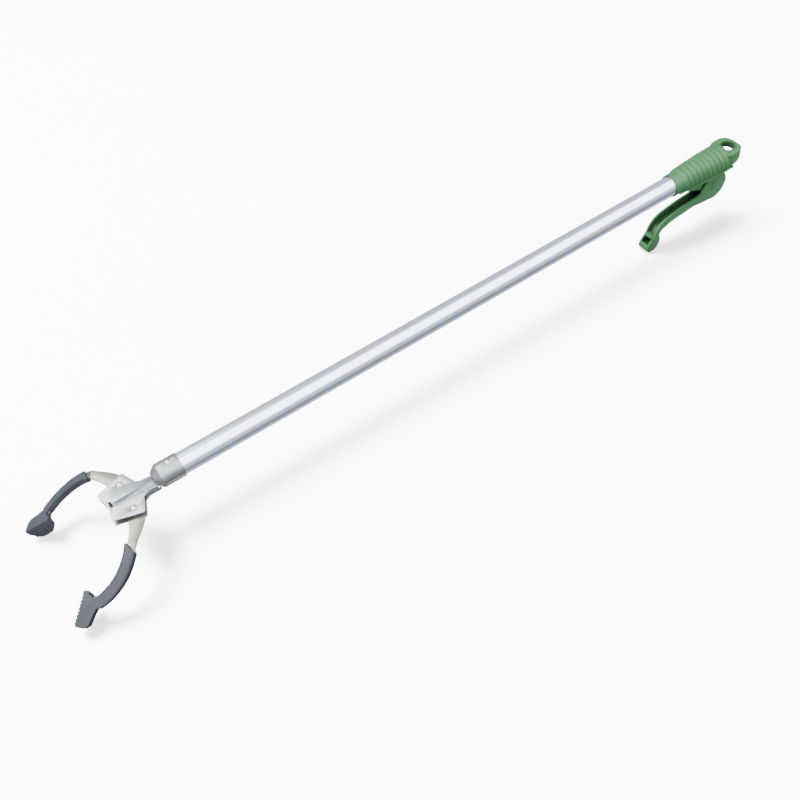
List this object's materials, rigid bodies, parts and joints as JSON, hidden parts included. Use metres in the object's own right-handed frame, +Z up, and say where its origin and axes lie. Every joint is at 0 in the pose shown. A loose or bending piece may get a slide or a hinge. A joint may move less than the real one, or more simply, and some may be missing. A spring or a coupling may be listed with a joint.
{
  "type": "reacher grabber",
  "caption": "Long-handled reacher with an aluminium tube, a trigger grip with a hanging hole, and two drooping claw jaws with rubber gripping pads.",
  "frame": {"origin": "middle of the tool's bounding box in plan, at the level of its lowest point, the trigger's foot", "axes": "+X along the tube from the jaws towards the grip, +Z up, from the trigger towards the grip's ribbed back, +Y across the tool"},
  "size_m": [0.9614, 0.1578, 0.1062],
  "materials": {
    "tube": "anodised, satin",
    "stamping": "zinc plated, satin",
    "arm_steel": "zinc plated, satin",
    "rivet": "plain steel, satin",
    "fitting": "zinc plated, satin",
    "nylon": "moulded nylon, matte",
    "spring_steel": "oiled spring steel",
    "rubber": "moulded rubber, matte",
    "grip_green": "moulded plastic, satin"
  },
  "bodies": {
    "frame": {"tube": "tube", "head_plate_upper": "stamping", "head_plate_lower": "stamping", "collar_rivets": "rivet", "neck_guide": "nylon", "jaw_rivet_left": "rivet", "jaw_rivet_right": "rivet", "jaw_spacer_left": "fitting", "jaw_spacer_right": "fitting", "front_bush": "nylon", "return_spring": "spring_steel", "spring_seat": "nylon", "mid_guide": "nylon", "rear_bush": "nylon", "handle_grip": "grip_green", "handle_screw": "rivet", "trigger_pin": "rivet"},
    "trigger": {"trigger_lever": "grip_green"},
    "rod": {"pull_rod": "rivet", "rod_block": "fitting", "drive_pin": "rivet", "rod_yoke": "fitting", "yoke_pin": "rivet", "rod_collar": "fitting"},
    "jaw_left": {"jaw_arm_left": "arm_steel", "jaw_sleeve_left": "rubber"},
    "jaw_right": {"jaw_arm_right": "arm_steel", "jaw_sleeve_right": "rubber"}
  },
  "joints": [
    {"name": "trigger_pivot", "type": "hinge", "parent": "frame", "child": "trigger", "pos_m": [0.44567, 0, 0.0525], "axis": [0, 1, 0], "range_deg": [0, 18.8], "stiffness_Nm_per_rad": 1.5, "springref_deg": -20.05},
    {"name": "rod_slide", "type": "slide", "parent": "frame", "child": "rod", "axis": [1, 0, 0], "range_m": [0, 0.0113], "deforming": ["return_spring"]},
    {"name": "jaw_left_pivot", "type": "hinge", "parent": "frame", "child": "jaw_left", "pos_m": [-0.37533, -0.018, 0.0805], "axis": [0, 0, 1], "range_deg": [-34.3, 0]},
    {"name": "jaw_right_pivot", "type": "hinge", "parent": "frame", "child": "jaw_right", "pos_m": [-0.37533, 0.018, 0.0805], "axis": [0, 0, 1], "range_deg": [0, 34.3]}
  ],
  "couplings": [
    {"joint": "rod_slide", "follows": "trigger_pivot", "m_per_rad": 0.034308},
    {"joint": "jaw_left_pivot", "follows": "trigger_pivot", "ratio": -1.8202},
    {"joint": "jaw_right_pivot", "follows": "trigger_pivot", "ratio": 1.8202}
  ]
}
